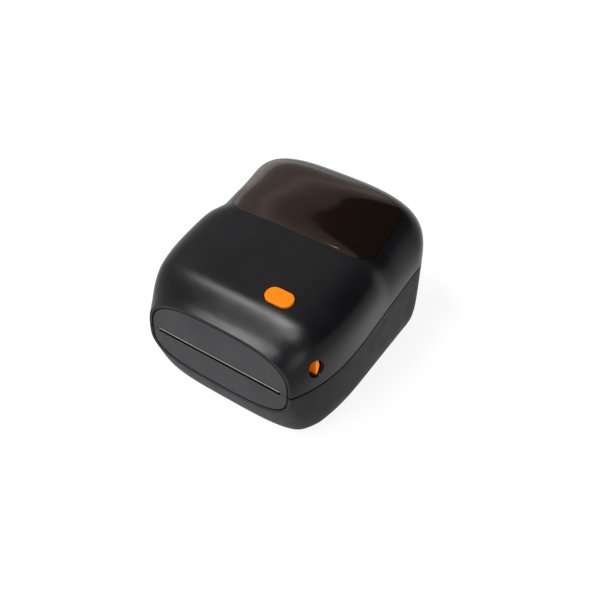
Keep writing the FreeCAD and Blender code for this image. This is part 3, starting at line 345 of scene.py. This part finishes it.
finishMaterial(mat, shader, "head_ceramic")

# Electrolytic capacitors: dark printed sleeve at the sides, bare aluminium on top
capLook = {"sleeve": "16181f", "top": "c9cacb", "upright": (0.6, 0.8), "scuff": 3, "rough": (0.28, 0.45)}
mat, tree = startMaterial("sleevedAluminium")
place = addNode(tree, "ShaderNodeTexCoord").outputs["Object"]
face = addNode(tree, "ShaderNodeNewGeometry")
upright = addNode(tree, "ShaderNodeSeparateXYZ", {"Vector": face.outputs["Normal"]})
bare = addNode(tree, "ShaderNodeMapRange", {"Value": upright.outputs["Z"], "From Min": capLook["upright"][0],
                                            "From Max": capLook["upright"][1]})
scuff = addNode(tree, "ShaderNodeTexNoise", {"Vector": place, "Scale": perMetre(capLook["scuff"]),
                                             "Detail": 3.0})
sleeve = addNode(tree, "ShaderNodeMix", {"Factor": bare, 6: linearInk(capLook["sleeve"]),
                                         7: linearInk(capLook["top"])}, data_type="RGBA")
rough = addNode(tree, "ShaderNodeMapRange", {"Value": scuff, "To Min": capLook["rough"][0],
                                             "To Max": capLook["rough"][1]})
shader = addNode(tree, "ShaderNodeBsdfPrincipled", {
    "Base Color": sleeve.outputs[2], "Metallic": bare, "Roughness": rough})
finishMaterial(mat, shader, "board_caps")
print("boards, ceramic and capacitors done")


def freshSelection():
    if bpy.context.object and bpy.context.object.mode != "OBJECT":
        bpy.ops.object.mode_set(mode="OBJECT")
    bpy.ops.object.select_all(action="DESELECT")


# A block with all of its edges bevelled, or only the upright ones
def roundedBlock(size, at, edge, segments, lean=0.0, uprightOnly=False):
    freshSelection()
    bpy.ops.mesh.primitive_cube_add(size=1, location=at, rotation=(lean, 0, 0))
    block = bpy.context.object
    block.scale = [v * mm for v in size]
    bpy.ops.object.transform_apply(location=False, rotation=False, scale=True)
    bpy.ops.object.mode_set(mode="EDIT")
    bpy.ops.mesh.select_mode(type="EDGE")
    bpy.ops.mesh.select_all(action="DESELECT")
    bpy.ops.object.mode_set(mode="OBJECT")
    for rib in block.data.edges:
        a, b = [block.data.vertices[i].co for i in rib.vertices]
        rib.select = not uprightOnly or abs(a.z - b.z) > size[2] / 2 * mm
    bpy.ops.object.mode_set(mode="EDIT")
    bpy.ops.mesh.bevel(offset=edge * mm, segments=segments)
    bpy.ops.object.mode_set(mode="OBJECT")
    return block


# The place goes into the mesh, then the piece rides on its body
def settle(piece, name, mat, body, smoothUnder=35):
    freshSelection()
    piece.select_set(True)
    bpy.context.view_layer.objects.active = piece
    bpy.ops.object.transform_apply(location=True, rotation=True, scale=True)
    bpy.ops.object.shade_smooth_by_angle(angle=math.radians(smoothUnder))
    piece.name = name
    piece.data.materials.clear()
    piece.data.materials.append(mat)
    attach(piece, body)


# White ink for the switch marks: printed pad ink, slightly grey and matte
inkLook = {"ink": "d6d6d4", "dry": 0.6, "rough": (0.5, 0.65)}
padInk, tree = startMaterial("padInk")
place = addNode(tree, "ShaderNodeTexCoord").outputs["Object"]
dry = addNode(tree, "ShaderNodeTexNoise", {"Vector": place, "Scale": perMetre(inkLook["dry"]), "Detail": 2.0})
rough = addNode(tree, "ShaderNodeMapRange", {"Value": dry, "To Min": inkLook["rough"][0],
                                             "To Max": inkLook["rough"][1]})
shader = addNode(tree, "ShaderNodeBsdfPrincipled", {
    "Base Color": linearInk(inkLook["ink"]), "Roughness": rough})
finishMaterial(padInk, shader)

# On and off marks on the rocker's two pads, in mm and degrees as the CAD has them
rockerMarks = {"pivot": (-30.0, 86.0, 20.2), "turn": -7.0, "padOut": 4.92, "padUp": 3.75, "padLean": 10.7,
               "bar": (0.55, 0.16, 2.6), "barEdge": 0.06, "ring": 1.25, "line": 0.26, "flat": 0.55}
pivot = Vector(rockerMarks["pivot"]) * mm
turn, padLean = math.radians(rockerMarks["turn"]), math.radians(rockerMarks["padLean"])
out, up = rockerMarks["padOut"] * mm, rockerMarks["padUp"] * mm


def padSpot(side):  # middle of the upper (1) or lower (-1) pad
    return pivot + Vector((0, out * math.cos(turn) - side * up * math.sin(turn),
                           out * math.sin(turn) + side * up * math.cos(turn)))


freshSelection()
bpy.ops.mesh.primitive_torus_add(major_radius=rockerMarks["ring"] * mm, minor_radius=rockerMarks["line"] * mm,
                                 major_segments=32, minor_segments=8, location=padSpot(-1),
                                 rotation=(turn + padLean + math.pi / 2, 0, 0))
bpy.ops.object.mode_set(mode="EDIT")
bpy.ops.mesh.select_all(action="SELECT")
bpy.ops.transform.resize(value=(1, 1, rockerMarks["flat"]), orient_type="LOCAL")  # ring pressed flat
bpy.ops.object.mode_set(mode="OBJECT")
settle(bpy.context.object, "markOff", padInk, "rocker")
mark = roundedBlock(rockerMarks["bar"], padSpot(1), rockerMarks["barEdge"], segments=2, lean=turn - padLean)
settle(mark, "markOn", padInk, "rocker")
print("switch marks placed")

# Tongue of the data socket: moulded nylon, pale and faintly cloudy, over the CAD tongue
usbTongue = {"dark": "d3d2cc", "light": "e2e1dc", "cloud": 4, "rough": 0.45,
             "size": (5.8, 8.2, 3.4), "edge": 0.35, "inset": 5.5, "lift": 5.5}  # mm
mat, tree = startMaterial("mouldedNylon")
place = addNode(tree, "ShaderNodeTexCoord").outputs["Object"]
cloud = addNode(tree, "ShaderNodeTexNoise", {"Vector": place, "Scale": perMetre(usbTongue["cloud"]),
                                             "Detail": 2.0})
tint = addNode(tree, "ShaderNodeValToRGB", {"Fac": cloud})
for stop, ink in zip(tint.color_ramp.elements, (usbTongue["dark"], usbTongue["light"])):
    stop.color = linearInk(ink)
shader = addNode(tree, "ShaderNodeBsdfPrincipled", {"Base Color": tint, "Roughness": usbTongue["rough"]})
finishMaterial(mat, shader)
socketLow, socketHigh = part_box("usb_socket")
tongueAt = ((socketLow.x + socketHigh.x) / 2, socketHigh.y - usbTongue["inset"] * mm,
            socketLow.z + usbTongue["lift"] * mm)
tongue = roundedBlock(usbTongue["size"], tongueAt, usbTongue["edge"], segments=3)
settle(tongue, "usbTongue", mat, "base")
print("socket tongue placed")

# Blank rating plate under the base: satin foil with rounded corners and a brushed sheen
plateLook = {"foil": "8f9093", "metal": 0.8, "brush": (1.0, 25.0, 1.0), "lines": 12, "rough": (0.3, 0.5),
             "size": (62.0, 34.0, 0.2), "corner": 3.0, "at": (0.0, 20.0)}
mat, tree = startMaterial("satinFoil")
place = addNode(tree, "ShaderNodeTexCoord").outputs["Object"]
brushed = addNode(tree, "ShaderNodeMapping", {"Vector": place, "Scale": plateLook["brush"]})
lines = addNode(tree, "ShaderNodeTexNoise", {"Vector": brushed, "Scale": perMetre(plateLook["lines"]),
                                             "Detail": 4.0})
rough = addNode(tree, "ShaderNodeMapRange", {"Value": lines, "To Min": plateLook["rough"][0],
                                             "To Max": plateLook["rough"][1]})
shader = addNode(tree, "ShaderNodeBsdfPrincipled", {
    "Base Color": linearInk(plateLook["foil"]), "Metallic": plateLook["metal"], "Roughness": rough})
finishMaterial(mat, shader)
plateX, plateY = [v * mm for v in plateLook["at"]]
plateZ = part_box("base_shell")[0].z - plateLook["size"][2] / 2 * mm
plate = roundedBlock(plateLook["size"], (plateX, plateY, plateZ), plateLook["corner"], segments=6,
                     uprightOnly=True)
settle(plate, "ratingPlate", mat, "base")
print("rating plate placed")

# Springs of the printhead: the coils close up as the head lifts; a welded copy of them rides on the lid in
# their place
headCoils = {"weld": 0.001, "keep": 0.8}  # mm; share of their length at full lift
freshSelection()
stiff = nodes["head_springs"]
stiff.select_set(True)
bpy.context.view_layer.objects.active = stiff
bpy.ops.object.duplicate()
coils = bpy.context.object
del coils["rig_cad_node"]
bpy.ops.object.mode_set(mode="EDIT")
bpy.ops.mesh.select_all(action="SELECT")
bpy.ops.mesh.remove_doubles(threshold=headCoils["weld"] * mm)
bpy.ops.object.mode_set(mode="OBJECT")
settle(coils, "headCoils", stiff.data.materials[0], "lid")
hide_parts("head_springs")
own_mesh(coils)
print("head coils placed")

# Studio floor: pale sweep that the camera, gloss and glass see as nearly white, with the object's shadow on it
studio = {"floor": 8.0, "shade": 0.12, "glow": 0.90, "bounce": 0.8}
freshSelection()
bpy.ops.mesh.primitive_plane_add(size=studio["floor"], location=(0, 0, 0))
floor = bpy.context.object
floor.name = "studioFloor"
mat, tree = startMaterial("paleSweep")
path = addNode(tree, "ShaderNodeLightPath")
seen = addNode(tree, "ShaderNodeMath", {0: path.outputs["Is Camera Ray"], 1: path.outputs["Is Glossy Ray"]},
               operation="ADD", use_clamp=True)
seenAll = addNode(tree, "ShaderNodeMath", {0: seen, 1: path.outputs["Is Transmission Ray"]}, operation="ADD",
                  use_clamp=True)
lit = addNode(tree, "ShaderNodeBsdfDiffuse", {"Color": (studio["bounce"],) * 3 + (1.0,)})
shade = addNode(tree, "ShaderNodeBsdfDiffuse", {"Color": (studio["shade"],) * 3 + (1.0,)})
glow = addNode(tree, "ShaderNodeEmission", {"Color": (1.0, 1.0, 1.0, 1.0), "Strength": studio["glow"]})
white = addNode(tree, "ShaderNodeAddShader", {0: shade, 1: glow})
sweep = addNode(tree, "ShaderNodeMixShader", {0: seenAll, 1: lit, 2: white})
finishMaterial(mat, sweep)
floor.data.materials.append(mat)

# Sky: nearly white round the horizon and dim above, with a pale wall at the left rear
sky = {"horizon": 0.93, "dim": 0.04, "band": (0.19, 0.44), "wallAt": (-0.82, 0.57, 0.0),
       "wall": [(0.0, 0.0), (0.315, 0.0), (0.34, 0.34), (0.45, 0.48), (0.60, 0.90), (0.72, 0.58), (1.0, 0.45)]}
world = bpy.data.worlds.new("studioSky")
bpy.context.scene.world = world
world.use_nodes = True
tree = world.node_tree
tree.nodes.clear()
aim = addNode(tree, "ShaderNodeTexCoord").outputs["Generated"]
height = addNode(tree, "ShaderNodeSeparateXYZ", {"Vector": aim})
band = addNode(tree, "ShaderNodeMapRange", {
    "Value": height.outputs["Z"], "From Min": sky["band"][0], "From Max": sky["band"][1],
    "To Min": sky["horizon"], "To Max": sky["dim"]}, interpolation_type="SMOOTHSTEP")
toward = addNode(tree, "ShaderNodeVectorMath", {0: aim, 1: sky["wallAt"]}, operation="DOT_PRODUCT")
wall = addNode(tree, "ShaderNodeValToRGB", {"Fac": toward.outputs["Value"]})
stops = wall.color_ramp.elements
while len(stops) < len(sky["wall"]):
    stops.new(1.0)
for stop, (at, level) in zip(stops, sky["wall"]):
    stop.position, stop.color = at, (level,) * 3 + (1.0,)
brighter = addNode(tree, "ShaderNodeMath", {0: band, 1: wall}, operation="MAXIMUM")
light = addNode(tree, "ShaderNodeBackground", {"Color": (1.0, 1.0, 1.0, 1.0), "Strength": brighter})
addNode(tree, "ShaderNodeOutputWorld", {"Surface": light})
print("floor and sky set")


def hangLamp(name, kind, rig, target):  # a lamp at its place, turned to the target
    lamp = bpy.data.lights.new(name, kind)
    lamp.energy = rig["watts"]
    holder = bpy.data.objects.new(name, lamp)
    bpy.context.scene.collection.objects.link(holder)
    holder.location = rig["at"]
    holder.rotation_euler = (target - Vector(rig["at"])).to_track_quat("-Z", "Y").to_euler()
    return lamp, holder


# Softboxes: the brow's highlight, the hollow below it, and two weak fills; metres and watts
softboxes = {
    "browBox": {"at": (-0.45, -0.53, 1.44), "size": (0.80, 0.42), "watts": 27.0},
    "frontBox": {"at": (-0.08, -0.95, 1.22), "size": (0.45, 0.35), "watts": 7.0},
    "fillBox": {"at": (-0.60, -1.60, 0.42), "size": (1.5, 0.5), "watts": 3.5},
    "sideBox": {"at": (0.80, -1.40, 0.55), "size": (0.6, 0.5), "watts": 3.0},
}
middle = (cadBox[0] + cadBox[1]) / 2
for name, rig in softboxes.items():
    lamp, holder = hangLamp(name, "AREA", rig, middle)
    lamp.shape = "RECTANGLE"
    lamp.size, lamp.size_y = rig["size"]

# Narrow lamp into the right latch's hole
snoot = {"at": (1.24, -0.27, 0.61), "watts": 55.0, "cone": 1.0, "blend": 0.8, "bulb": 0.002,
         "tab": (8.7, 8.0)}  # mm from the latch's front and top
latchLow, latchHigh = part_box("latch_right")
latchTab = Vector((latchHigh.x, latchLow.y + snoot["tab"][0] * mm, latchHigh.z - snoot["tab"][1] * mm))
lamp, holder = hangLamp("latchSnoot", "SPOT", snoot, latchTab)
lamp.spot_size = math.radians(snoot["cone"])
lamp.spot_blend = snoot["blend"]
lamp.shadow_soft_size = snoot["bulb"]
holder.visible_glossy = False  # no hard point of light on the gloss

# Camera at the photograph's angle
lensView = {"at": (0.29122, -0.40919, 0.51907), "azimuth": 34.57, "elevation": 43.0, "lens": 48.1,
            "sensor": 36.0, "near": 0.01}
eye = bpy.data.objects.new("photoCamera", bpy.data.cameras.new("photoCamera"))
bpy.context.scene.collection.objects.link(eye)
eye.location = lensView["at"]
eye.rotation_euler = (math.radians(90 - lensView["elevation"]), 0, math.radians(lensView["azimuth"]))
eye.data.lens = lensView["lens"]
eye.data.sensor_width = lensView["sensor"]
eye.data.clip_start = lensView["near"]
bpy.context.scene.camera = eye
bpy.context.scene.view_settings.view_transform = "Standard"
print("lamps and camera set")
